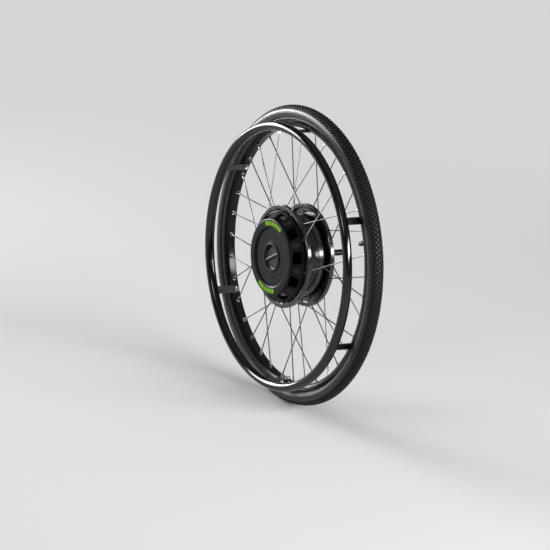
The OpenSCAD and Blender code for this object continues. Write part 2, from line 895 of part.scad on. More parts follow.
module lead_path(gap) {
    low = axle_r - lead_slot - gap;
    rotate([0, 0, lead_angle]) {
        translate([low, -lead_w / 2 - gap, plate_s])
            cube([lead_h + 2 * gap, lead_w + 2 * gap, board_s - plate_s - 0.2]);
        translate([low, -lead_w / 2 - gap, board_s - lead_h - 0.2])
            cube([board_in_r + 6 - low, lead_w + 2 * gap, lead_h]);
        translate([low, -lead_w / 2 - gap, plate_s])
            cube([lead_end - low, lead_w + 2 * gap, lead_h + gap]);
    }
}

module axle() {
    color([0.62, 0.63, 0.65]) on_axle() difference() {
        union() {
            post(axle_r, plate_s, axle_front);
            post(axle_flange_r, axle_flange_s, plate_s + plate_t);
        }
        post(pin_r + run_gap, plate_s - 1, axle_front + 1);
        around(3, torque_phase) translate([plate_screw_pr, 0, 0])
            post(plate_screw_r + seat_gap, axle_flange_s - 1, plate_s + plate_t + 1);
        lead_path(0.2);
        translate([0, 0, motor_s]) rotate([0, 0, lead_angle + 180])
            translate([axle_r - key_h / 2 - seat_gap, -key_w / 2 - seat_gap, -carrier_t / 2 - 0.2])
                cube([key_h, key_w + 2 * seat_gap, carrier_t + 0.4]);
    }
}

module axle_nut() {
    nut_h = axle_front - front_bearing_s - bearing_w - 0.3;
    color([0.5, 0.5, 0.52]) on_axle() difference() {
        translate([0, 0, front_bearing_s + bearing_w + seat_gap])
            cylinder(r = axle_r + 5, h = nut_h, $fn = 6);
        post(axle_r + seat_gap, front_bearing_s, axle_front + 1);
    }
}

module stator_carrier() {
    low = motor_s - carrier_t / 2;
    color([0.66, 0.67, 0.69]) on_axle() difference() {
        union() {
            band(axle_r + seat_gap, stator_in_r - seat_gap, low + 2, low + carrier_t - 2);
            band(axle_r + seat_gap, carrier_boss_r, low, low + carrier_t);
            band(stator_in_r - 5, stator_in_r - seat_gap, low, low + carrier_t);
            around(posts, post_phase)
                translate([post_pr, 0, 0]) post(post_r, low + carrier_t - 3, board_s - seat_gap);
        }
        around(posts)
            translate([(carrier_boss_r + stator_in_r) / 2 - 1, 0, 0]) post(8, low - 1, low + carrier_t + 1);
        around(posts, post_phase)
            translate([post_pr, 0, 0]) post(board_screw_r + seat_gap, board_s - 8, board_s + 1);
        rotate([0, 0, lead_angle + 180])
            translate([axle_r - 1, -key_w / 2 - seat_gap, low - 1])
                cube([key_h / 2 + 1 + seat_gap, key_w + 2 * seat_gap, carrier_t + 2]);
    }
}

module carrier_key() {
    color([0.5, 0.5, 0.5]) on_axle() translate([0, 0, motor_s]) rotate([0, 0, lead_angle + 180])
        translate([axle_r - key_h / 2, -key_w / 2, -carrier_t / 2]) cube([key_h, key_w, carrier_t]);
}

module stator_core() {
    low = motor_s - stack / 2;
    tip_half = 180 / teeth * 0.78;
    color([0.3, 0.31, 0.34]) on_axle() {
        band(stator_in_r, yoke_r, low, low + stack);
        intersection() {
            band(yoke_r - 1, stator_r, low, low + stack);
            around(teeth) translate([0, 0, low]) linear_extrude(stack) {
                translate([yoke_r - 2, -neck_w / 2]) square([tooth_h + 4, neck_w]);
                polygon([
                    [yoke_r + tooth_h, -neck_w / 2],
                    [stator_r - 1, -stator_r * sin(tip_half)],
                    [stator_r + 2, -stator_r * sin(tip_half)],
                    [stator_r + 2, stator_r * sin(tip_half)],
                    [stator_r - 1, stator_r * sin(tip_half)],
                    [yoke_r + tooth_h, neck_w / 2]
                ]);
            }
        }
    }
}

module stator_coils() {
    inside = neck_w / 2 + 0.1;
    color([0.72, 0.4, 0.2]) on_axle() around(teeth) translate([yoke_r + 1, 0, motor_s]) difference() {
        translate([0, -inside - coil_t, -stack / 2 - coil_over - coil_t])
            cube([tooth_h - 2, 2 * (inside + coil_t), stack + 2 * (coil_over + coil_t)]);
        translate([-1, -inside, -stack / 2 - 0.1])
            cube([tooth_h, 2 * inside, stack + 0.2]);
    }
}

module controller_board() {
    chip = [9, 14, 4.5];
    chips = 6;
    cans = 3;
    can_r = 5;
    can_h = 8;
    can_pr = post_pr - 11;
    top = board_s + board_t;
    color([0.05, 0.3, 0.16]) on_axle() difference() {
        union() {
            band(board_in_r, board_r, board_s, top);
            around(chips, 180 / chips)
                translate([post_pr - chip[0] / 2 - 1, -chip[1] / 2, top - 0.1]) cube(chip);
            around(cans, 180 / cans) translate([can_pr, 0, 0]) post(can_r, top - 0.1, top + can_h);
        }
        around(posts, post_phase) translate([post_pr, 0, 0]) {
            post(board_screw_r + 0.1, board_s - 1, top + 9);
            post(board_head_r + 0.4, top, top + 9);
        }
    }
}

module board_screws() {
    top = board_s + board_t + seat_gap;
    color([0.7, 0.7, 0.72]) on_axle() around(posts, post_phase) translate([post_pr, 0, 0]) {
        post(board_screw_r, board_s - 7, top + 0.5);
        post(board_head_r, top, top + 1.8);
    }
}

module power_lead() {
    color([0.1, 0.1, 0.1]) on_axle() lead_path(0);
}

module torque_plate() {
    color([0.6, 0.61, 0.63]) on_axle() difference() {
        union() {
            band(axle_r + seat_gap, plate_r, plate_s, plate_s + plate_t);
            band(axle_r + seat_gap, seat_ring_r, -seat_d, plate_s + 0.1);
        }
        around(3, torque_phase) translate([torque_pcd / 2, 0, 0])
            post(stud_shank_r + seat_gap, plate_s - 1, plate_s + plate_t + 1);
        post(axle_flange_r + seat_gap, axle_flange_s - seat_gap, plate_s + plate_t + 1);
        around(3, torque_phase) translate([plate_screw_pr, 0, 0])
            post(plate_screw_r + seat_gap, -seat_d - 1, plate_s + plate_t);
        rotate([0, 0, lead_angle]) translate([torque_pcd / 2, 0, 0])
            post(socket_boss_r + seat_gap, plate_s - 1, plate_s + socket_boss_h + seat_gap);
        lead_path(0.2);
    }
}

module plate_screws() {
    color([0.7, 0.7, 0.72]) on_axle() around(3, torque_phase) translate([plate_screw_pr, 0, 0])
        post(plate_screw_r, -seat_d + 0.3, plate_s + plate_t - 0.3);
}

module torque_pins() {
    color([0.72, 0.73, 0.75]) on_axle() around(3, torque_phase) translate([torque_pcd / 2, 0, 0]) {
        post(torque_pin_r, -seat_d - stud_out, plate_s - seat_gap);
        post(stud_shank_r, -seat_d, plate_s + plate_t);
        translate([0, 0, -seat_d - stud_out - stud_tip])
            cylinder(r1 = torque_pin_r - stud_bevel, r2 = torque_pin_r, h = stud_tip);
    }
}

module power_socket() {
    place = [torque_pcd / 2 * cos(lead_angle), torque_pcd / 2 * sin(lead_angle), 0];
    color([0.07, 0.07, 0.08]) on_axle() translate(place) difference() {
        union() {
            post(socket_r, plate_s - socket_out, plate_s - seat_gap);
            post(socket_boss_r, plate_s - 1, plate_s + socket_boss_h);
        }
        post(socket_bore_r, plate_s - socket_out - 1, plate_s - 2);
    }
}

module release_pin() {
    low = -seat_d + 0.1;
    grip_end = -seat_d - pin_grip;
    color([0.7, 0.71, 0.73]) on_axle() difference() {
        rotate_extrude() polygon([
            [rod_bore_r, pin_end + 2],
            [pin_r - 2, pin_end],
            [pin_r - 0.6, pin_end + 1.4],
            [pin_r - 0.6, grip_end],
            [pin_r, grip_end],
            [pin_r, low],
            [pin_r - undercut, low],
            [pin_r - undercut, low + undercut_w],
            [pin_r, low + undercut_w],
            [pin_r, axle_front + seat_gap],
            [collar_r, axle_front + seat_gap],
            [collar_r, axle_front + collar_t],
            [pin_r, axle_front + collar_t],
            [pin_r, knob_floor_s - 0.5],
            [rod_bore_r, knob_floor_s - 0.5]
        ]);
        for (a = [90, 270])
            radial(a, lock_s) post(lock_ball_r + run_gap, 0, pin_r + 1);
        translate([-sleeve_r, -cam_pin_r - run_gap, cam_rest_s - plunger_travel - cam_pin_r - 0.3])
            cube([2 * sleeve_r, 2 * (cam_pin_r + run_gap), plunger_travel + 2 * cam_pin_r + 0.6]);
    }
}

module release_knob() {
    bowl_r = knob_r - knob_wall;
    bowl_round = 0.6 * bowl_h;
    floor_s = knob_floor_s + knob_floor_t;
    bar_s = knob_out - bar_drop - bar_w / 2;
    color([0.1, 0.1, 0.11]) on_axle() difference() {
        union() {
            rotate_extrude() polygon(concat(
                [
                    [0, knob_floor_s],
                    [knob_r - 2, knob_floor_s],
                    [knob_r, knob_floor_s + 2],
                    [knob_r, knob_out - 0.8],
                    [knob_r - 0.8, knob_out],
                    [bowl_r, knob_out]
                ],
                arc([bowl_r - bowl_round - 1, floor_s + bowl_round], bowl_round, 0, -90),
                [[0, floor_s]]
            ));
            intersection() {
                post(bowl_r, knob_floor_s + 1, knob_out - bar_drop);
                union() {
                    rotate([0, 0, bar_angle])
                        translate([-knob_r, -bar_w / 2, 0]) cube([2 * knob_r, bar_w, bar_s]);
                    radial(bar_angle, bar_s) post(bar_w / 2, -knob_r, knob_r);
                }
            }
            post(sleeve_r, sleeve_s, knob_floor_s + 0.1);
        }
        intersection() {
            post(bowl_r - 1, floor_s - slot_h, knob_out - bar_drop);
            rotate([0, 0, bar_angle])
                translate([-knob_r, slot_off, 0]) cube([2 * knob_r, knob_r, knob_out]);
        }
        post(sleeve_in_r, sleeve_s - 1, knob_floor_s - 0.2);
        for (half = [0, 180])
            for (step = [0:cam_steps])
                radial(half - knob_turn * step / cam_steps, cam_rest_s - plunger_travel * step / cam_steps)
                    post(cam_pin_r + cam_gap, sleeve_in_r - 0.6, sleeve_r + 1, $fn = spoke_fn);
    }
}

module plunger_rod() {
    ramp = lock_s + plunger_travel;
    color([0.66, 0.67, 0.7]) on_axle() difference() {
        rotate_extrude() polygon([
            [0, lock_s - 4],
            [rod_r, lock_s - 4],
            [rod_r, lock_s],
            [rod_r - lock_in, ramp],
            [rod_r - lock_in, ramp + 4],
            [rod_bore_r - run_gap, ramp + 8],
            [rod_bore_r - run_gap, knob_floor_s - 1],
            [0, knob_floor_s - 1]
        ]);
        radial(0, cam_rest_s) post(cam_pin_r + 0.02, -sleeve_r, sleeve_r);
    }
}

module cam_pin() {
    color([0.8, 0.8, 0.82]) on_axle() radial(0, cam_rest_s) post(cam_pin_r, -sleeve_r + 0.5, sleeve_r - 0.5);
}

module lock_ball(a) {
    on_axle() rotate([0, 0, a]) translate([ball_rest_r, 0, lock_s]) sphere(r = lock_ball_r, $fn = 48);
}

module lock_ball_upper() {
    color([0.85, 0.85, 0.87]) lock_ball(90);
}

module lock_ball_lower() {
    color([0.85, 0.85, 0.87]) lock_ball(270);
}

tyre();
inner_tube();
rim();
rim_tape();
valve_stem();
valve_nut();
valve_cap();
spokes_outboard();
spokes_inboard();
spoke_nipples();
push_rim();
push_rim_tabs();
tab_screws();
tab_inserts();
hub_shell();
rear_cover();
rear_cover_screws();
front_cover();
cover_disc();
cover_screws();
screw_caps();
back_iron();
rotor_magnets();
front_bearing_outer();
rear_bearing_outer();
shaft_seal();
axle();
axle_nut();
stator_carrier();
carrier_key();
stator_core();
stator_coils();
controller_board();
board_screws();
power_lead();
front_bearing_inner();
rear_bearing_inner();
torque_plate();
plate_screws();
torque_pins();
power_socket();
release_pin();
release_knob();
plunger_rod();
cam_pin();
lock_ball_upper();
lock_ball_lower();
front_bearing_balls();
front_bearing_cage();
rear_bearing_balls();
rear_bearing_cage();
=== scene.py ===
# Dresses the power-assist wheel: smooth tyre with a block tread, polished push rim, moulded
# hub cover and turned metal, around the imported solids.
# Pieces are in mm and degrees; the camera, the floor and the lamps are in metres and degrees.
import math

import bpy
import numpy as np
from mathutils import Matrix, Vector


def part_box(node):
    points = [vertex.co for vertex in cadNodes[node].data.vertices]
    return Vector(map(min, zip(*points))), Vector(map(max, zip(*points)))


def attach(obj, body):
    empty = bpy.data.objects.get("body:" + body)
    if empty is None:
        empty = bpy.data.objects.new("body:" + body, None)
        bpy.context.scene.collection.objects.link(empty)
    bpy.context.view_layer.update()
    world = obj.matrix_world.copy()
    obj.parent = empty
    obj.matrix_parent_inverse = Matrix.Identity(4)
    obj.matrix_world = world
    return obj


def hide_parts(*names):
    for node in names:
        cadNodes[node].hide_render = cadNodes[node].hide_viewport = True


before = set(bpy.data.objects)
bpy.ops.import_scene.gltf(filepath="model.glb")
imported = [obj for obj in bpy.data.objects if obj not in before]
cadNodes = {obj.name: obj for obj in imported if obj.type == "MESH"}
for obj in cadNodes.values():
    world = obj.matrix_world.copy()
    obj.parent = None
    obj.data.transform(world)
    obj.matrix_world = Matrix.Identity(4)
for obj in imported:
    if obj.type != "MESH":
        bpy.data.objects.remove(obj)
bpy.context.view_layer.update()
mm = 0.001


def nodeSpan(node):
    # a node's lowest and highest corner at rest, in mm
    low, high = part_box(node)
    return np.array(low) / mm, np.array(high) / mm


tyreLow, tyreHigh = nodeSpan("tyre")
rimLow, rimHigh = nodeSpan("rim")
tubeLow, tubeHigh = nodeSpan("push_rim")
coverLow = nodeSpan("front_cover")[0]
seatDistance = -(tyreLow[1] + tyreHigh[1]) / 2  # the origin lies this far inboard of the tyre's middle
tyreHalf = (tyreHigh[1] - tyreLow[1]) / 2
tubeHalf = (tubeHigh[1] - tubeLow[1]) / 2
wheelMiddle = Vector((0.0, -seatDistance * mm, 0.0))
print("frame loaded:", len(cadNodes), "nodes")

# camera, solved on the ellipses of the tyre and the push rim
cameraView = {
    "azimuth": 57.06, "elevation": 16.34, "roll": -6.34,
    "distance": 12.7956, "aside": 0.04762, "above": 0.04004, "clipEnd": 100.0,
    "focalPixels": 6328.6, "imagePixels": 550, "sensor": 36.0,
}


def placeCamera(view):
    # the wheel's centre sits at (aside, above) in the camera's own axes, at the given distance
    a, e, r = (math.radians(view[k]) for k in ("azimuth", "elevation", "roll"))
    back = Vector((math.sin(a) * math.cos(e), -math.cos(a) * math.cos(e), math.sin(e)))
    right = Vector((math.cos(a), math.sin(a), 0.0))
    up = back.cross(right)
    turnedRight = right * math.cos(r) - up * math.sin(r)
    turnedUp = right * math.sin(r) + up * math.cos(r)
    shift = turnedRight * view["aside"] + turnedUp * view["above"]
    place = wheelMiddle - shift + back * view["distance"]
    data = bpy.data.cameras.new("photoCamera")
    data.sensor_width = view["sensor"]
    data.lens = view["focalPixels"] / view["imagePixels"] * view["sensor"]
    data.clip_end = view["clipEnd"]
    camera = bpy.data.objects.new("photoCamera", data)
    axes = Matrix((turnedRight, turnedUp, back)).transposed()
    camera.matrix_world = Matrix.Translation(place) @ axes.to_4x4()
    bpy.context.scene.collection.objects.link(camera)
    bpy.context.scene.camera = camera


placeCamera(cameraView)
print("camera placed")


def addNode(tree, kind, feeds=None, **settings):
    # feeds maps an input's name or number to a socket or a plain value
    node = tree.nodes.new(kind)
    for key, value in settings.items():
        setattr(node, key, value)
    for key, value in (feeds or {}).items():
        if isinstance(value, bpy.types.NodeSocket):
            tree.links.new(value, node.inputs[key])
        else:
            node.inputs[key].default_value = value
    return node


def calc(tree, operation, *values):
    feeds = dict(enumerate(values))
    return addNode(tree, "ShaderNodeMath", feeds, operation=operation).outputs[0]


def noise(tree, vector, scale, **more):
    feeds = {"Vector": vector, "Scale": scale}
    feeds.update({label.capitalize(): value for label, value in more.items()})
    return addNode(tree, "ShaderNodeTexNoise", feeds).outputs[0]


def softStep(tree, value, start, end):
    # 0 at start and 1 at end, with a soft rise between them
    feeds = {"Value": value, "From Min": start, "From Max": end}
    return addNode(tree, "ShaderNodeMapRange", feeds, interpolation_type="SMOOTHSTEP").outputs[0]


def mixColour(tree, share, first, second):
    # a Mix node set to colour has them on inputs 6 and 7, and gives output 2
    feeds = {"Factor": share, 6: first, 7: second}
    return addNode(tree, "ShaderNodeMix", feeds, data_type="RGBA").outputs[2]


def opaque(colour):
    return (*colour, 1.0)


# shader groups: each gives masks, heights and normals that change over the surface
def startGroup(name, inputs, outputs):
    # an input without a value, and the output named Normal, are vectors
    tree = bpy.data.node_groups.new(name, "ShaderNodeTree")
    for label, value in inputs.items():
        kind = "NodeSocketVector" if value is None else "NodeSocketFloat"
        socket = tree.interface.new_socket(name=label, in_out="INPUT", socket_type=kind)
        if value is not None:
            socket.default_value = value
    for label in outputs:
        kind = "NodeSocketVector" if label == "Normal" else "NodeSocketFloat"
        tree.interface.new_socket(name=label, in_out="OUTPUT", socket_type=kind)
    return tree, tree.nodes.new("NodeGroupInput").outputs, tree.nodes.new("NodeGroupOutput").inputs


def turnedPlace(tree, vector, lines, drag):
    # radius and axial place times lines, and the angle round the axle times drag:
    # noise that is read there is drawn out along the turn
    x, y, z = addNode(tree, "ShaderNodeSeparateXYZ", {0: vector}).outputs
    radius = calc(tree, "SQRT", calc(tree, "MULTIPLY_ADD", x, x, calc(tree, "MULTIPLY", z, z)))
    angle = calc(tree, "ARCTAN2", z, x)
    place = addNode(tree, "ShaderNodeCombineXYZ", {
        0: calc(tree, "MULTIPLY", radius, lines),
        1: calc(tree, "MULTIPLY", y, lines),
        2: calc(tree, "MULTIPLY", angle, drag)})
    return place.outputs[0]


mouldGrain = {"scale": 2500.0, "mottleScale": 40.0, "cellShare": 0.6}


def mouldGrainGroup(look):
    # spark-eroded mould texture: fine noise with a share of soft cells on it, and a slow mottle
    inputs = {"Vector": None, "Scale": look["scale"], "Mottle Scale": look["mottleScale"]}
    tree, given, gives = startGroup("mouldGrain", inputs, ("Height", "Mottle"))
    fine = noise(tree, given["Vector"], given["Scale"], detail=3.0)
    cells = addNode(tree, "ShaderNodeTexVoronoi", {"Vector": given["Vector"], "Scale": given["Scale"]},
                    feature="SMOOTH_F1")
    slow = noise(tree, given["Vector"], given["Mottle Scale"], detail=4.0, roughness=0.6)
    height = calc(tree, "MULTIPLY_ADD", cells.outputs["Distance"], look["cellShare"], fine)
    tree.links.new(height, gives["Height"])
    tree.links.new(slow, gives["Mottle"])
    return tree


turnedLines = {"lines": 1500.0, "drag": 2.0}


def turnedLinesGroup(look):
    # lathe lines round the axle
    inputs = {"Vector": None, "Lines": look["lines"], "Drag": look["drag"]}
    tree, given, gives = startGroup("turnedLines", inputs, ("Height",))
    place = turnedPlace(tree, given["Vector"], given["Lines"], given["Drag"])
    tree.links.new(noise(tree, place, 1.0, detail=2.0), gives["Height"])
    return tree


handlingMarks = {
    "smudgeScale": 18.0, "smudgeSpan": (0.42, 0.72),
    "hairlines": 900.0, "hairDrag": 9.0, "hairSpan": (0.66, 0.78),
}


def handlingGroup(look):
    # light handling marks: slow smudges, and hairlines that run round the axle
    inputs = {"Vector": None, "Smudge Scale": look["smudgeScale"], "Hairlines": look["hairlines"]}
    tree, given, gives = startGroup("handlingMarks", inputs, ("Smudge", "Hairline"))
    smudge = noise(tree, given["Vector"], given["Smudge Scale"],
                   detail=5.0, roughness=0.65, distortion=0.6)
    place = turnedPlace(tree, given["Vector"], given["Hairlines"], look["hairDrag"])
    lines = noise(tree, place, 1.0, detail=0.0)
    tree.links.new(softStep(tree, smudge, *look["smudgeSpan"]), gives["Smudge"])
    tree.links.new(softStep(tree, lines, *look["hairSpan"]), gives["Hairline"])
    return tree


softEdges = {
    "radius": 0.5 * mm, "samples": 16, "bentSpan": (0.995, 0.84),
    "breakScale": 260.0, "breakSpan": (0.36, 0.62),
}


def softEdgeGroup(look):
    # rounds the corners in the shading, and marks them where that normal leaves the face's own:
    # wear rises as their dot product falls below one, and is broken up by noise
    inputs = {"Vector": None, "Radius": look["radius"], "Break Scale": look["breakScale"]}
    tree, given, gives = startGroup("softEdges", inputs, ("Wear", "Normal"))
    bevel = addNode(tree, "ShaderNodeBevel", {"Radius": given["Radius"]}, samples=look["samples"])
    rounded = bevel.outputs[0]
    face = addNode(tree, "ShaderNodeNewGeometry").outputs["Normal"]
    agree = addNode(tree, "ShaderNodeVectorMath", {0: rounded, 1: face}, operation="DOT_PRODUCT")
    bent = softStep(tree, agree.outputs["Value"], *look["bentSpan"])
    broken = noise(tree, given["Vector"], given["Break Scale"], detail=3.0)
    patches = softStep(tree, broken, *look["breakSpan"])
    tree.links.new(calc(tree, "MULTIPLY", bent, patches), gives["Wear"])
    tree.links.new(rounded, gives["Normal"])
    return tree


shaderGroups = {
    "grain": mouldGrainGroup(mouldGrain), "lines": turnedLinesGroup(turnedLines),
    "marks": handlingGroup(handlingMarks), "edges": softEdgeGroup(softEdges),
}
print("shader groups made:", len(shaderGroups))

# depths and edges are in mm; a finish below may give its own value for any of these
finishBasis = {
    "mottle": 40.0, "bump": 0.3, "depth": 0.05, "lineBump": 0.25, "lineDepth": 0.02,
    "scuff": (0.3, 0.3, 0.3), "hairTint": 0.03, "edgeTint": 0.06, "smudgeShare": 0.6, "mottleShare": 0.5,
}
plainSockets = ("Metallic", "Coat Weight", "Coat Roughness", "IOR", "Specular IOR Level")


def placeGroup(tree, key, coords, values=None):
    return addNode(tree, "ShaderNodeGroup", {"Vector": coords, **(values or {})},
                   node_tree=shaderGroups[key]).outputs


def makeFinish(name, special):
    # colour runs from dark to light by the mottle, and from there to scuff by hairlines and worn edges;
    # roughness runs between its two values by smudges and mottle; the bumps add up by their depths
    look = {**finishBasis, **special}
    material = bpy.data.materials.new(name)
    material.use_nodes = True
    tree = material.node_tree
    shader = tree.nodes["Principled BSDF"]
    for label in plainSockets:
        if label in look:
            shader.inputs[label].default_value = look[label]
    coords = addNode(tree, "ShaderNodeTexCoord").outputs["Object"]
    grain = placeGroup(tree, "grain", coords, {"Scale": look["grain"], "Mottle Scale": look["mottle"]})
    marks = placeGroup(tree, "marks", coords)
    worn = calc(tree, "MULTIPLY", marks["Hairline"], look["hairTint"])
    relief = {"Strength": look["bump"], "Distance": look["depth"] * mm, "Height": grain["Height"]}
    if "edge" in look:
        edges = placeGroup(tree, "edges", coords, {"Radius": look["edge"] * mm})
        worn = calc(tree, "MULTIPLY_ADD", edges["Wear"], look["edgeTint"], worn)
        relief["Normal"] = edges["Normal"]
    colour = mixColour(tree, grain["Mottle"], opaque(look["dark"]), opaque(look["light"]))
    tree.links.new(mixColour(tree, worn, colour, opaque(look["scuff"])), shader.inputs["Base Color"])
    mottled = calc(tree, "MULTIPLY", grain["Mottle"], look["mottleShare"])
    spread = calc(tree, "MULTIPLY_ADD", marks["Smudge"], look["smudgeShare"], mottled)
    smooth, dull = look["rough"]
    rough = addNode(tree, "ShaderNodeMapRange", {"Value": spread, "To Min": smooth, "To Max": dull})
    tree.links.new(rough.outputs[0], shader.inputs["Roughness"])
    normal = addNode(tree, "ShaderNodeBump", relief).outputs[0]
    if "lines" in look:
        lines = placeGroup(tree, "lines", coords, {"Lines": look["lines"]})
        normal = addNode(tree, "ShaderNodeBump", {
            "Strength": look["lineBump"], "Distance": look["lineDepth"] * mm,
            "Height": lines["Height"], "Normal": normal}).outputs[0]
    tree.links.new(normal, shader.inputs["Normal"])
    return material


finishes = {
    "tyreSidewall": {
        "dark": (0.005, 0.0058, 0.0063), "light": (0.009, 0.01, 0.0107), "rough": (0.32, 0.42),
        "Specular IOR Level": 0.45, "grain": 1100.0, "mottle": 22.0, "bump": 0.2,
        "scuff": (0.03, 0.03, 0.03)},
    "tyreTread": {
        "dark": (0.004, 0.0045, 0.005), "light": (0.008, 0.0085, 0.009), "rough": (0.5, 0.66),
        "Specular IOR Level": 0.28, "grain": 1400.0, "mottle": 26.0, "depth": 0.12, "bump": 0.35,
        "scuff": (0.04, 0.04, 0.04)},
    # groove floor: rubber painted darker than the tread as painted shade in the grooves, and rougher
    "tyreGroovePaintedShade": {
        "dark": (0.002, 0.002, 0.002), "light": (0.004, 0.004, 0.004), "rough": (0.75, 0.88),
        "Specular IOR Level": 0.12, "grain": 1400.0, "mottle": 26.0, "depth": 0.12, "bump": 0.35},
    "blackRubber": {
        "dark": (0.012, 0.012, 0.012), "light": (0.02, 0.02, 0.02), "rough": (0.55, 0.7),
        "grain": 1500.0, "depth": 0.1},
    "rimLacquer": {
        "dark": (0.003, 0.0034, 0.004), "light": (0.005, 0.0055, 0.0065), "rough": (0.15, 0.23),
        "Specular IOR Level": 0.18, "grain": 500.0, "depth": 0.01, "bump": 0.05, "hairTint": 0.02},
    "pushRimPolish": {
        "dark": (0.038, 0.0395, 0.042), "light": (0.05, 0.0515, 0.054), "rough": (0.09, 0.15),
        "Metallic": 1.0, "grain": 300.0, "depth": 0.01, "bump": 0.02,
        "scuff": (0.1, 0.1, 0.1), "hairTint": 0.15},
    "weldBead": {
        "dark": (0.03, 0.031, 0.034), "light": (0.06, 0.062, 0.066), "rough": (0.2, 0.34),
        "Metallic": 1.0, "grain": 900.0},
    "tabSatin": {
        "dark": (0.006, 0.006, 0.007), "light": (0.012, 0.012, 0.014), "rough": (0.26, 0.4),
        "Coat Weight": 0.3, "Coat Roughness": 0.15, "grain": 1200.0, "depth": 0.03, "edge": 0.6},
    "hubPolish": {
        "dark": (0.002, 0.0025, 0.004), "light": (0.0035, 0.0042, 0.0065), "rough": (0.15, 0.22),
        "IOR": 1.68, "grain": 500.0, "depth": 0.005, "bump": 0.03, "hairTint": 0.015, "edge": 0.5},
    "coverPlastic": {
        "dark": (0.0032, 0.004, 0.0048), "light": (0.0052, 0.0064, 0.0075), "rough": (0.26, 0.36),
        "Specular IOR Level": 0.11, "grain": 2600.0, "mottle": 30.0, "depth": 0.09, "bump": 0.4,
        "edge": 0.6},
    "discPlastic": {
        "dark": (0.007, 0.0088, 0.0103), "light": (0.01, 0.0124, 0.0144), "rough": (0.32, 0.44),
        "Specular IOR Level": 0.08, "grain": 3200.0, "mottle": 26.0, "depth": 0.08, "bump": 0.4,
        "edge": 0.5},
    "knobPlastic": {
        "dark": (0.009, 0.0108, 0.0122), "light": (0.013, 0.0155, 0.0175), "rough": (0.36, 0.46),
        "Specular IOR Level": 0.25, "grain": 2600.0, "edge": 0.5},
    "capPlastic": {
        "dark": (0.014, 0.0115, 0.0095), "light": (0.022, 0.0185, 0.0155), "rough": (0.42, 0.55),
        "Specular IOR Level": 0.2, "grain": 2400.0, "edge": 0.3},
    "limePaint": {
        "dark": (0.15, 0.4, 0.004), "light": (0.185, 0.46, 0.007), "rough": (0.4, 0.5),
        "Specular IOR Level": 0.04, "grain": 2600.0, "bump": 0.25, "edge": 0.2},
    "spokeSteel": {
        "dark": (0.11, 0.11, 0.113), "light": (0.17, 0.17, 0.173), "rough": (0.24, 0.36),
        "Metallic": 1.0, "grain": 1800.0, "depth": 0.02, "bump": 0.15},
    "nippleBrass": {
        "dark": (0.5, 0.46, 0.39), "light": (0.68, 0.64, 0.56), "rough": (0.22, 0.36),
        "Metallic": 1.0, "grain": 1800.0, "depth": 0.02, "bump": 0.15},
    "brightSteel": {
        "dark": (0.55, 0.56, 0.58), "light": (0.7, 0.71, 0.72), "rough": (0.14, 0.26),
        "Metallic": 1.0, "grain": 1500.0, "depth": 0.01, "bump": 0.1, "edge": 0.25},
    "brownedSteel": {
        "dark": (0.1, 0.082, 0.065), "light": (0.18, 0.15, 0.12), "rough": (0.3, 0.45),
        "Metallic": 1.0, "grain": 1500.0, "depth": 0.02},
    "blackOxide": {
        "dark": (0.012, 0.0125, 0.014), "light": (0.022, 0.0225, 0.025), "rough": (0.28, 0.42),
        "Metallic": 1.0, "grain": 1100.0, "depth": 0.015, "lines": 2200.0, "lineDepth": 0.012,
        "edge": 0.3},
    "groundSteel": {
        "dark": (0.42, 0.43, 0.45), "light": (0.56, 0.57, 0.58), "rough": (0.2, 0.34),
        "Metallic": 1.0, "grain": 900.0, "depth": 0.01, "lines": 2200.0, "lineDepth": 0.015,
        "edge": 0.3},
    "machinedAlloy": {
        "dark": (0.5, 0.51, 0.52), "light": (0.64, 0.65, 0.66), "rough": (0.26, 0.4),
        "Metallic": 1.0, "grain": 700.0, "depth": 0.01, "lines": 1600.0, "lineDepth": 0.03,
        "edge": 0.5},
    "ironLamination": {
        "dark": (0.16, 0.16, 0.17), "light": (0.26, 0.26, 0.27), "rough": (0.4, 0.55),
        "Metallic": 1.0, "grain": 900.0, "depth": 0.03, "lines": 2000.0},
    "copperWinding": {
        "dark": (0.3, 0.12, 0.05), "light": (0.5, 0.22, 0.1), "rough": (0.25, 0.4),
        "Metallic": 1.0, "grain": 700.0, "depth": 0.1, "lines": 1100.0, "lineDepth": 0.2},
    "boardGreen": {
        "dark": (0.008, 0.06, 0.03), "light": (0.015, 0.1, 0.05), "rough": (0.3, 0.45),
        "grain": 500.0},
    "blackPlastic": {
        "dark": (0.01, 0.01, 0.011), "light": (0.018, 0.018, 0.02), "rough": (0.4, 0.55),
        "grain": 2400.0, "depth": 0.06, "edge": 0.4},
    "rimTape": {
        "dark": (0.3, 0.04, 0.03), "light": (0.4, 0.06, 0.05), "rough": (0.7, 0.85),
        "grain": 1200.0, "depth": 0.2},
    "cageBrass": {
        "dark": (0.42, 0.31, 0.13), "light": (0.55, 0.42, 0.2), "rough": (0.25, 0.4),
        "Metallic": 1.0, "grain": 1200.0, "depth": 0.02},
}
materials = {name: makeFinish(name, look) for name, look in finishes.items()}
print("finishes made:", len(materials))

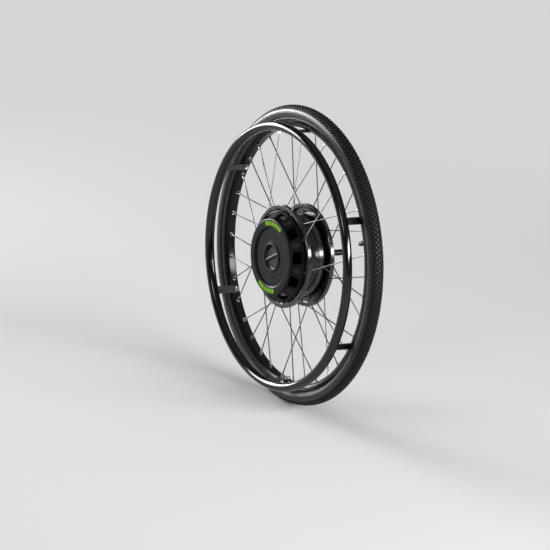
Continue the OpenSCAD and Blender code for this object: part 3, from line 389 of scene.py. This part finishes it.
nodeFinish = {
    "tyreSidewall": ("tyre",),
    "blackRubber": ("inner_tube", "shaft_seal", "power_lead", "valve_stem"),
    "rimLacquer": ("rim",),
    "pushRimPolish": ("push_rim",),
    "tabSatin": ("push_rim_tabs",),
    "hubPolish": ("hub_shell", "rear_cover"),
    "coverPlastic": ("front_cover",),
    "discPlastic": ("cover_disc",),
    "knobPlastic": ("release_knob",),
    "spokeSteel": ("spokes_outboard", "spokes_inboard"),
    "nippleBrass": ("spoke_nipples", "tab_inserts"),
    "brightSteel": ("tab_screws", "lock_ball_upper", "lock_ball_lower",
                    "front_bearing_balls", "rear_bearing_balls"),
    "brownedSteel": ("cover_screws", "rear_cover_screws"),
    "capPlastic": ("screw_caps",),
    "blackOxide": ("release_pin", "valve_nut"),
    "groundSteel": ("axle", "axle_nut", "carrier_key", "torque_pins", "plunger_rod",
                    "cam_pin", "front_bearing_outer", "rear_bearing_outer", "front_bearing_inner",
                    "rear_bearing_inner", "board_screws", "plate_screws"),
    "machinedAlloy": ("stator_carrier", "torque_plate"),
    "ironLamination": ("back_iron", "stator_core", "rotor_magnets"),
    "copperWinding": ("stator_coils",),
    "boardGreen": ("controller_board",),
    "blackPlastic": ("power_socket", "valve_cap"),
    "rimTape": ("rim_tape",),
    "cageBrass": ("front_bearing_cage", "rear_bearing_cage"),
}
for finishName, dressed in nodeFinish.items():
    for nodeName in dressed:
        slots = cadNodes[nodeName].data.materials
        slots.clear()
        slots.append(materials[finishName])
print("solids dressed")


def evenTurn(count, phase=0.0):
    # angles spread evenly round a circle, in radians, from a phase in degrees
    return np.arange(count) * 2 * np.pi / count + math.radians(phase)


def wheelPoint(radius, angle, outward, aside=0.0):
    # a point at a radius and an angle from +X toward +Z, set aside square to that radius, and outward
    # of the tyre's middle; any of the four may be a whole grid
    radius, angle, outward, aside = np.broadcast_arrays(radius, angle, outward, aside)
    x = radius * np.cos(angle) - aside * np.sin(angle)
    z = radius * np.sin(angle) + aside * np.cos(angle)
    return np.stack((x, -(outward + seatDistance), z), axis=-1) * mm


def squareLoop(turn, power):
    # a circle pressed toward a square: cosine and sine raised to a power below one, signs kept
    cosine, sine = np.cos(turn), np.sin(turn)
    return np.sign(cosine) * np.abs(cosine) ** power, np.sign(sine) * np.abs(sine) ** power


def makePiece(name, points, faces, finish, body, sharp=35.0, second=None, marked=None):
    # points is (n, 3) in metres, faces a list of (k, corners) arrays, and edges bent by more than
    # sharp degrees stay hard; marked faces take the second finish
    mesh = bpy.data.meshes.new(name)
    points = np.asarray(points, np.float32).reshape(-1, 3)
    corners = np.concatenate([np.asarray(f, np.int32).ravel() for f in faces])
    totals = np.concatenate([np.full(len(f), np.asarray(f).shape[1], np.int32) for f in faces])
    starts = np.concatenate(([0], np.cumsum(totals)[:-1])).astype(np.int32)
    mesh.vertices.add(len(points))
    mesh.vertices.foreach_set("co", points.ravel())
    mesh.loops.add(len(corners))
    mesh.loops.foreach_set("vertex_index", corners)
    mesh.polygons.add(len(totals))
    mesh.polygons.foreach_set("loop_start", starts)
    mesh.polygons.foreach_set("loop_total", totals)
    mesh.update(calc_edges=True)
    mesh.validate()
    mesh.shade_smooth()
    mesh.set_sharp_from_angle(angle=math.radians(sharp))
    mesh.materials.append(materials[finish])
    if second:
        mesh.materials.append(materials[second])
        mesh.polygons.foreach_set("material_index", np.asarray(marked, np.int32).ravel())
    piece = bpy.data.objects.new(name, mesh)
    bpy.context.scene.collection.objects.link(piece)
    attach(piece, body)
    return piece


def ringFaces(around, across, count=1):
    # quads of grids that close on themselves both ways, one grid after the other, facing outwards
    i, j = np.meshgrid(np.arange(around), np.arange(across), indexing="ij")
    here, ahead = i * across, (i + 1) % around * across
    nextJ = (j + 1) % across
    quads = np.stack((here + j, here + nextJ, ahead + nextJ, ahead + j), axis=-1).reshape(-1, 4)
    return (quads + np.arange(count)[:, None, None] * around * across).reshape(-1, 4)


def stackFaces(levels, corners, count):
    # walls between the rings of corners of each stack, its top and its foot, one stack after the other
    first = np.arange(count)[:, None] * levels * corners
    j = np.arange(corners)
    ahead = (j + 1) % corners
    faces = []
    for low in first + np.arange(levels - 1)[:, None, None] * corners:
        high = low + corners
        faces.append(np.stack((low + j, low + ahead, high + ahead, high + j), axis=-1).reshape(-1, 4))
    return [*faces, first + (levels - 1) * corners + j, first + j[::-1]]


def revolve(profile, around):
    # carries a closed (radius, outward) profile round the axle
    profile = np.asarray(profile, float)
    grid = wheelPoint(profile[None, :, 0], evenTurn(around)[:, None], profile[None, :, 1])
    return grid.reshape(-1, 3), ringFaces(around, len(profile))


def roundCorners(corners, reaches, steps=5):
    # swaps each corner of a closed outline for a curve between points set back along both of its sides,
    # (1-u)^2 A + 2u(1-u) C + u^2 B
    corners = np.asarray(corners, float)
    reach = np.asarray(reaches, float)[:, None]
    before = np.roll(corners, 1, axis=0) - corners
    after = np.roll(corners, -1, axis=0) - corners
    start = corners + reach * before / np.linalg.norm(before, axis=1, keepdims=True)
    end = corners + reach * after / np.linalg.norm(after, axis=1, keepdims=True)
    u = np.linspace(0, 1, steps)[None, :, None]
    curve = (1 - u) ** 2 * start[:, None] + 2 * u * (1 - u) * corners[:, None] + u * u * end[:, None]
    return curve.reshape(-1, 2)


# angles of the section count from the crown
tyre = {
    "sectionCentre": tyreHigh[0] - tyreHalf, "sectionRadius": tyreHalf, "around": 400, "sharp": 40.0,
    "crownReach": 50.0, "crownSteps": 34, "edgeSpan": (52.0, 64.0), "edgeSteps": 16,
    "sideStart": 65.0, "sideSteps": 60, "wall": 3.0, "innerReach": 126.0, "innerSteps": 40,
    "rimEdge": rimHigh[0] + 0.05, "beadWide": 11.35, "beadNarrow": 7.4,
    "beadFloor": 270.6, "beadTuck": 0.6,
    "grooveDepth": 1.9, "grooveMargin": 1.0, "treadEdge": 56.0, "treadStep": 4.0, "sidewallDrop": 0.35,
    "bandAngle": 77.0, "bandHalf": 1.6, "bandRise": 0.2,
    "ringStart": 101.0, "ringFadeIn": 3.0, "ringStop": 1.0, "ringFadeOut": 2.0,
    "ringFirst": 102.0, "ringPitch": 4.5, "ringDepth": 0.13,
}
tread = {
    "rows": 7, "rowSpacing": 17.6, "blocks": 190, "blockFill": 0.76, "cornerCut": 0.2, "sharp": 25.0,
    "levelScales": (1.1, 1.0, 0.84), "footSink": 0.3, "edgeDrop": 0.25,
}


def tyreCasing(t):
    # section radius by the angle from the crown: groove floor under the tread, a rounded step at its
    # edge, then a sidewall with a raised band and fine rings; closed inside by beads and an inner arc
    reach = math.degrees(math.acos((t["rimEdge"] - t["sectionCentre"]) / t["sectionRadius"]))
    flank = np.concatenate((np.linspace(*t["edgeSpan"], t["edgeSteps"]),
                            np.linspace(t["sideStart"], reach, t["sideSteps"])))
    crown = np.linspace(-t["crownReach"], t["crownReach"], t["crownSteps"])
    phi = np.concatenate((-flank[::-1], crown, flank))
    side = np.abs(phi)
    step = np.clip((side - t["treadEdge"]) / t["treadStep"], 0, 1)
    step = step * step * (3 - 2 * step)
    radius = t["sectionRadius"] - t["grooveDepth"] + step * (t["grooveDepth"] - t["sidewallDrop"])
    offBand = np.abs((side - t["bandAngle"]) / t["bandHalf"])
    radius = radius + t["bandRise"] * np.clip(1 - offBand ** 4, 0, 1)
    rings = np.clip((side - t["ringStart"]) / t["ringFadeIn"], 0, 1)
    rings = rings * np.clip((reach - t["ringStop"] - side) / t["ringFadeOut"], 0, 1)
    wave = np.cos(np.radians((side - t["ringFirst"]) * 360 / t["ringPitch"]))
    radius = radius + t["ringDepth"] * rings * (wave - 1)
    angle = np.radians(phi)
    outer = np.stack((t["sectionCentre"] + radius * np.cos(angle), radius * np.sin(angle)), -1)
    inside = t["sectionRadius"] - t["wall"]
    back = np.radians(np.linspace(t["innerReach"], -t["innerReach"], t["innerSteps"]))
    inner = np.stack((t["sectionCentre"] + inside * np.cos(back), inside * np.sin(back)), -1)
    bead = np.array([[t["rimEdge"] - t["beadTuck"], t["beadWide"]], [t["beadFloor"], t["beadWide"]],
                     [t["beadFloor"], t["beadNarrow"]]])
    profile = np.concatenate((outer, bead, inner, (bead * (1, -1))[::-1]))
    points, faces = revolve(profile, t["around"])
    # faces under the tread take the groove finish, whose darker colour is painted shade in the grooves
    groove = np.zeros((t["around"], len(profile)), int)
    groove[:, :len(phi)] = side < t["treadEdge"] + t["grooveMargin"]
    return makePiece("tyreCasing", points, [faces], "tyreSidewall", "wheel", t["sharp"],
                     "tyreGroovePaintedShade", groove)


def treadBlocks(b, t):
    # lozenges in staggered rows; each is three rings of eight corners: foot, edge and crowned top
    rows = np.arange(b["rows"]) - (b["rows"] - 1) / 2
    pitch = 2 * np.pi / b["blocks"]
    row, index = np.meshgrid(rows, np.arange(b["blocks"]), indexing="ij")
    middle = (index + 0.5 * np.mod(row, 2)) * pitch
    cut = b["cornerCut"]
    along = np.array([1 - cut / 2, cut, -cut, -1 + cut / 2, -1 + cut / 2, -cut, cut, 1 - cut / 2])
    across = np.array([cut / 2, 1 - cut, 1 - cut, cut / 2, -cut / 2, -1 + cut, -1 + cut, -cut / 2])
    scale = np.array(b["levelScales"]) * b["blockFill"]
    depth = np.array([t["grooveDepth"] + b["footSink"], b["edgeDrop"], 0.0])
    angle = middle[..., None, None] + scale[:, None] * along * pitch / 2
    phi = np.radians(row[..., None, None] * b["rowSpacing"] + scale[:, None] * across * b["rowSpacing"])
    radius = t["sectionRadius"] - depth[:, None]
    points = wheelPoint(t["sectionCentre"] + radius * np.cos(phi), angle, radius * np.sin(phi))
    faces = stackFaces(len(scale), len(along), row.size)
    return makePiece("treadBlocks", points, faces, "tyreTread", "wheel", b["sharp"])


casing = tyreCasing(tyre)
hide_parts("tyre")
treadBlocks(tread, tyre)
print("tyre made")

rimRing = {
    "edge": rimHigh[0], "inner": 261.0, "shoulder": 268.0, "half": (rimHigh[1] - rimLow[1]) / 2,
    "bed": 8.0, "floor": 270.5, "well": 269.3, "channel": 11.4, "wellHalf": 5.5,
    "around": 360, "sharp": 50.0,
    "trackLines": (270.6, 278.2), "trackDepth": 0.3, "trackHalf": 0.5, "trackRound": (0.2, 0.25, 0.2),
    "edgeRound": 0.7, "shoulderRound": 2.5, "innerRound": 2.0, "lipRound": 0.3, "channelRound": 0.4,
}
eyelets = {
    "count": 36, "phase": 7.5, "radius": 3.2, "tube": 0.6, "lift": 0.1, "around": 20, "across": 8,
}


def rimSection(r):
    # outline from the outboard lip over the side, whose two grooves bound the track, round the inner
    # face to the other side, and back through the channel and its well
    half, deep = r["half"], r["half"] - r["trackDepth"]
    side = [(r["edge"], half)]
    sideRound = [r["edgeRound"]]
    for line in r["trackLines"][::-1]:
        side += [(line + r["trackHalf"], half), (line, deep), (line - r["trackHalf"], half)]
        sideRound += r["trackRound"]
    side.append((r["shoulder"], half))
    sideRound.append(r["shoulderRound"])
    inner = [(r["inner"], r["bed"]), (r["inner"], -r["bed"])]
    well = [(r["floor"], -r["channel"]), (r["floor"], -r["wellHalf"]), (r["well"], -r["wellHalf"]),
            (r["well"], r["wellHalf"]), (r["floor"], r["wellHalf"]), (r["floor"], r["channel"])]
    otherSide = [(radius, -outward) for radius, outward in side[::-1]]
    outline = [(r["edge"], r["channel"]), *side, *inner, *otherSide, (r["edge"], -r["channel"]), *well]
    innerRound = [r["innerRound"]] * len(inner)
    wellRound = [r["channelRound"]] * len(well)
    rounds = [r["lipRound"], *sideRound, *innerRound, *sideRound[::-1], r["lipRound"], *wellRound]
    return roundCorners(outline, rounds)


def eyeletRings(e, innerRadius):
    # a small torus round every nipple, its axis along the wheel's radius
    station = evenTurn(e["count"], e["phase"])[:, None, None]
    u = evenTurn(e["around"])[:, None]
    v = evenTurn(e["across"])
    ring = e["radius"] + e["tube"] * np.cos(v)
    radius = innerRadius + e["lift"] - e["tube"] * np.sin(v)
    points = wheelPoint(radius, station, ring * np.sin(u), ring * np.cos(u))
    faces = ringFaces(e["around"], e["across"], e["count"])
    return makePiece("nippleEyelets", points, [faces], "groundSteel", "wheel")


points, faces = revolve(rimSection(rimRing), rimRing["around"])
ring = makePiece("rimRing", points, [faces], "rimLacquer", "wheel", rimRing["sharp"])
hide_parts("rim")
eyeletRings(eyelets, rimRing["inner"])
print("rim made")

pushRim = {
    "radius": tubeHigh[0] - tubeHalf, "outward": -(tubeLow[1] + tubeHigh[1]) / 2 - seatDistance,
    "tube": tubeHalf, "around": 320, "across": 48,
}
tabWeld = {
    "tabs": 6, "phase": 32.5, "half": 7.5, "middle": 259.14, "thick": 3.0, "grow": 0.35, "power": 0.5,
    "bead": 1.25, "ripple": 0.14, "ripples": 26, "sink": 0.3, "around": 96, "across": 10,
}


def pushRimTube(p):
    # a circle of the tube's radius carried round the axle
    turn = evenTurn(p["across"])
    radius = p["radius"] + p["tube"] * np.cos(turn)
    outward = p["outward"] + p["tube"] * np.sin(turn)
    points, faces = revolve(np.stack((radius, outward), -1), p["around"])
    return makePiece("pushRimTube", points, [faces], "pushRimPolish", "wheel")


def tabWelds(w, p):
    # a rippled bead follows each tab's rounded outline where it meets the tube: the path lies on the
    # tube's surface, and the bead's circle leans from the path's outward side to the axial direction
    turn = evenTurn(w["around"])[:, None]
    v = evenTurn(w["across"])
    wide, tall = w["half"] + w["grow"], w["thick"] / 2 + w["grow"]
    along, up = squareLoop(turn, w["power"])
    pathAside, pathRadius = wide * along, w["middle"] + tall * up
    awayAside, awayUp = np.cos(turn) * tall, np.sin(turn) * wide
    away = np.hypot(awayAside, awayUp)
    size = w["bead"] * (1 + w["ripple"] * np.cos(w["ripples"] * turn))
    aside = pathAside + size * np.cos(v) * awayAside / away
    radius = pathRadius + size * np.cos(v) * awayUp / away
    pathReach = np.hypot(pathAside, pathRadius) - p["radius"]
    surface = p["outward"] - np.sqrt(p["tube"] ** 2 - pathReach ** 2)
    outward = surface + w["sink"] - size * np.sin(v)
    points = wheelPoint(radius, evenTurn(w["tabs"], w["phase"])[:, None, None], outward, aside)
    faces = ringFaces(w["around"], w["across"], w["tabs"])
    return makePiece("tabWelds", points, [faces], "weldBead", "wheel")


tube = pushRimTube(pushRim)
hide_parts("push_rim")
tabWelds(tabWeld, pushRim)
print("push rim made")

limeMarks = {
    "middles": (91.5, 267.5), "bars": 8, "barAngle": 4.6, "gapAngle": 1.8,
    "radius": 68.6, "halfHeight": 4.4, "corners": 24, "power": 0.4, "sharp": 60.0,
    "face": -coverLow[1] - seatDistance, "rise": 0.08, "sink": 0.3, "shoulder": 0.6, "topScale": 0.93,
}


def limeBars(m):
    # plain rounded bars in two arcs on the cover's ring: a squarish loop for each, taken up from below
    # the face to a softened top
    pitch = m["barAngle"] + m["gapAngle"]
    offsets = (np.arange(m["bars"]) - (m["bars"] - 1) / 2) * pitch
    middle = np.radians((np.array(m["middles"])[:, None] + offsets).ravel())[:, None, None]
    along, tall = squareLoop(evenTurn(m["corners"]), m["power"])
    scale = np.array([1.0, 1.0, m["topScale"]])[:, None]
    level = np.array([-m["sink"], m["rise"] * m["shoulder"], m["rise"]])[:, None]
    angle = middle + scale * along * math.radians(m["barAngle"]) / 2
    points = wheelPoint(m["radius"] + scale * tall * m["halfHeight"], angle, m["face"] + level)
    faces = stackFaces(len(scale), m["corners"], len(middle))
    faces = [f[:, ::-1] for f in faces]  # the loops run the other way here
    return makePiece("limeBars", points, faces, "limePaint", "wheel", m["sharp"])


limeBars(limeMarks)
print("lime marks made")

floorLook = {
    "size": 40.0, "level": tyreLow[2] * mm,
    "colour": (0.64, 0.64, 0.635), "roughness": 0.9, "gloss": 0.1,
    "farColour": (0.67, 0.67, 0.668), "farStart": 0.8, "farEnd": 2.3,
}


def addStage(look):
    # paper that takes the shadow near the wheel, and keeps one pale tone further off
    half, z = look["size"] / 2, look["level"]
    corners = [(-half, -half, z), (half, -half, z), (half, half, z), (-half, half, z)]
    mesh = bpy.data.meshes.new("studioFloor")
    mesh.from_pydata(corners, [], [(0, 1, 2, 3)])
    floor = bpy.data.objects.new("studioFloor", mesh)
    bpy.context.scene.collection.objects.link(floor)
    material = bpy.data.materials.new("studioPaper")
    material.use_nodes = True
    tree = material.node_tree
    shader = tree.nodes["Principled BSDF"]
    shader.inputs["Base Color"].default_value = opaque(look["colour"])
    shader.inputs["Roughness"].default_value = look["roughness"]
    shader.inputs["Specular IOR Level"].default_value = look["gloss"]
    coords = addNode(tree, "ShaderNodeTexCoord").outputs["Object"]
    away = addNode(tree, "ShaderNodeVectorMath", {0: coords}, operation="LENGTH").outputs["Value"]
    far = softStep(tree, away, look["farStart"], look["farEnd"])
    path = addNode(tree, "ShaderNodeLightPath").outputs
    mirrored = calc(tree, "MAXIMUM", path["Is Glossy Ray"], path["Is Transmission Ray"])
    seen = calc(tree, "MAXIMUM", path["Is Camera Ray"], mirrored)
    pale = addNode(tree, "ShaderNodeEmission", {"Color": opaque(look["farColour"]), "Strength": 1.0})
    paper = addNode(tree, "ShaderNodeMixShader", {
        0: calc(tree, "MULTIPLY", far, seen), 1: shader.outputs[0], 2: pale.outputs[0]})
    tree.links.new(paper.outputs[0], tree.nodes["Material Output"].inputs["Surface"])
    mesh.materials.append(material)


studio = {
    "worldColour": (0.94, 0.96, 1.0), "worldStrength": 0.13,
    "sunTilt": (0.0, 0.12, 0.0), "sunAngle": 90.0, "sunStrength": 0.36,
    "lights": {
        "rightStrip": {"from": (4.0, 1.45, 1.5), "size": (4.4, 0.85), "power": 310.0},
        "leftSoftbox": {"from": (-3.8, -1.8, 0.8), "size": (2.7, 2.0), "power": 290.0},
        "frontFill": {"from": (1.1, -2.3, 1.3), "size": (0.6, 0.6), "power": 9.0},
    },
}


def addStudio(look):
    # a dim world, a wide soft sun from above, and lamps that face the wheel's middle
    world = bpy.data.worlds.new("studioWorld")
    world.use_nodes = True
    background = world.node_tree.nodes["Background"]
    background.inputs["Color"].default_value = opaque(look["worldColour"])
    background.inputs["Strength"].default_value = look["worldStrength"]
    bpy.context.scene.world = world
    sky = bpy.data.lights.new("skySoftbox", "SUN")
    sky.energy = look["sunStrength"]
    sky.angle = math.radians(look["sunAngle"])
    skyLight = bpy.data.objects.new("skySoftbox", sky)
    skyLight.rotation_euler = look["sunTilt"]  # in radians
    bpy.context.scene.collection.objects.link(skyLight)
    for name, spec in look["lights"].items():
        data = bpy.data.lights.new(name, "AREA")
        data.shape = "RECTANGLE"
        data.size, data.size_y = spec["size"]
        data.energy = spec["power"]
        light = bpy.data.objects.new(name, data)
        light.location = spec["from"]
        light.rotation_mode = "QUATERNION"
        light.rotation_quaternion = (wheelMiddle - light.location).to_track_quat("-Z", "Y")
        bpy.context.scene.collection.objects.link(light)


addStage(floorLook)
addStudio(studio)
bpy.context.scene.view_settings.view_transform = "Standard"
print("stage and lights set")
